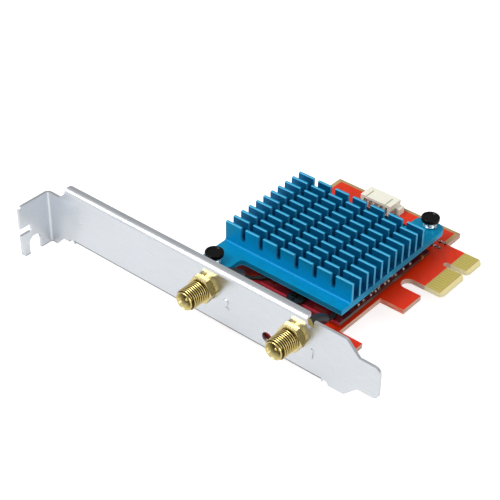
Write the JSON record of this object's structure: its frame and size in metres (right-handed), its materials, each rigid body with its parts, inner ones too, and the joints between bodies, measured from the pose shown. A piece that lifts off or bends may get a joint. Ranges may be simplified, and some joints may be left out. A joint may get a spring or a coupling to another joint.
{
  "type": "pcie wifi card",
  "caption": "Plug-in wireless card with a finned heatsink held by sprung pins, two aerial jacks through a full-height slot bracket, and a keyed edge connector.",
  "frame": {"origin": "middle of the key notch at the tips of the edge fingers, on the component face of the main board", "axes": "+X the way the card is pushed into its slot, along the bracket from its screw tab to its tongue; +Y away from the bracket, along the board's finger edge; +Z off the component face"},
  "size_m": [0.12, 0.0848, 0.0215],
  "materials": {
    "bracket_steel": "satin plated",
    "red_board": "solder mask",
    "dark_board": "solder mask",
    "gold": "gold plated",
    "blue_aluminium": "anodised satin",
    "black_plastic": "moulded",
    "spring_steel": "bright",
    "tinned_steel": "tinned",
    "ivory_plastic": "moulded",
    "white_insulator": "smooth",
    "pad_rubber": "soft",
    "black_sleeve": "shrunk tube",
    "black_cable": "smooth jacket",
    "chip_ceramic": "fired"
  },
  "bodies": {
    "card": {"aerial_plug_1": "gold", "aerial_plug_2": "gold", "aerial_sockets": "gold", "antenna_cable_1": "black_cable", "antenna_cable_2": "black_cable", "board_chips": "chip_ceramic", "board_screws": "spring_steel", "bracket": "bracket_steel", "edge_fingers_top": "gold", "edge_fingers_under": "gold", "header_anchors": "tinned_steel", "header_housing": "ivory_plastic", "header_pins": "tinned_steel", "heatsink": "blue_aluminium", "jack_1_body": "gold", "jack_1_contact": "gold", "jack_1_core": "white_insulator", "jack_1_nut": "gold", "jack_1_washer": "gold", "jack_2_body": "gold", "jack_2_contact": "gold", "jack_2_core": "white_insulator", "jack_2_nut": "gold", "jack_2_washer": "gold", "jack_sleeve_1": "black_sleeve", "jack_sleeve_2": "black_sleeve", "main_board": "red_board", "module_board": "dark_board", "module_chips": "chip_ceramic", "module_screw": "spring_steel", "module_shield": "tinned_steel", "module_socket": "black_plastic", "module_standoff": "gold", "pin_spring_far": "spring_steel", "pin_spring_near": "spring_steel", "socket_leads": "tinned_steel", "thermal_pad": "pad_rubber"},
    "pin_near": {"push_pin_near": "black_plastic"},
    "pin_far": {"push_pin_far": "black_plastic"}
  },
  "joints": [
    {"name": "pin_near_slide", "type": "slide", "parent": "card", "child": "pin_near", "axis": [0, 0, -1], "range_m": [0, 0.0008], "stiffness_N_per_m": 2000, "springref_m": -0.002, "deforming": ["pin_spring_near"]},
    {"name": "pin_far_slide", "type": "slide", "parent": "card", "child": "pin_far", "axis": [0, 0, -1], "range_m": [0, 0.0008], "stiffness_N_per_m": 2000, "springref_m": -0.002, "deforming": ["pin_spring_far"]}
  ]
}
